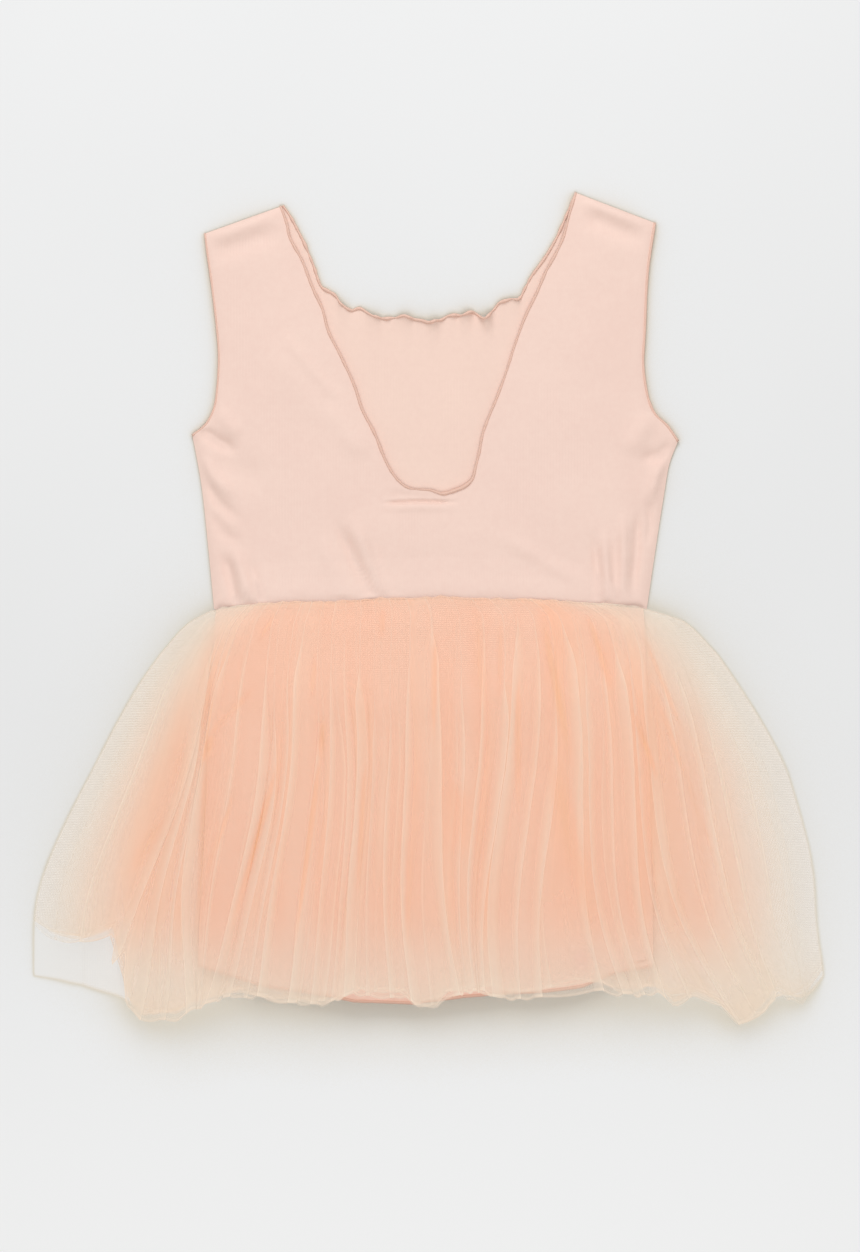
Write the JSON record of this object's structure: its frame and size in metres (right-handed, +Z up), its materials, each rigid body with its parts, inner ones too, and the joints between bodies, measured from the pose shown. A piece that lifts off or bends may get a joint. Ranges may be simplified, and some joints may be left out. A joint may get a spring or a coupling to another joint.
{
  "type": "child's sleeveless dress with gathered tulle skirt, laid flat",
  "caption": "Sleeveless child's dress laid flat, back up: soft jersey bodice with deep back neck and ruffled scoop front, gathered tulle skirt over a straight slip.",
  "frame": {"origin": "centre of the bounding box on the surface that the dress lies on", "axes": "+X to the wearer's right shoulder's side as seen from above (right in the picture), +Y from the hem to the shoulders, +Z up from the surface"},
  "size_m": [0.4768, 0.5012, 0.0249],
  "materials": {
    "jersey": "soft matt cotton jersey in pale peach pink",
    "slip": "smooth matt lining jersey in peach pink",
    "tulle": "very fine soft net, see-through, cream peach"
  },
  "bodies": {
    "root": {"bodice_front": "jersey", "bodice_back": "jersey", "lining_front": "slip", "lining_back": "slip", "tulle_outer_front": "tulle", "tulle_middle_front": "tulle", "tulle_inner_front": "tulle", "tulle_inner_back": "tulle", "tulle_middle_back": "tulle", "tulle_outer_back": "tulle"}
  },
  "joints": []
}
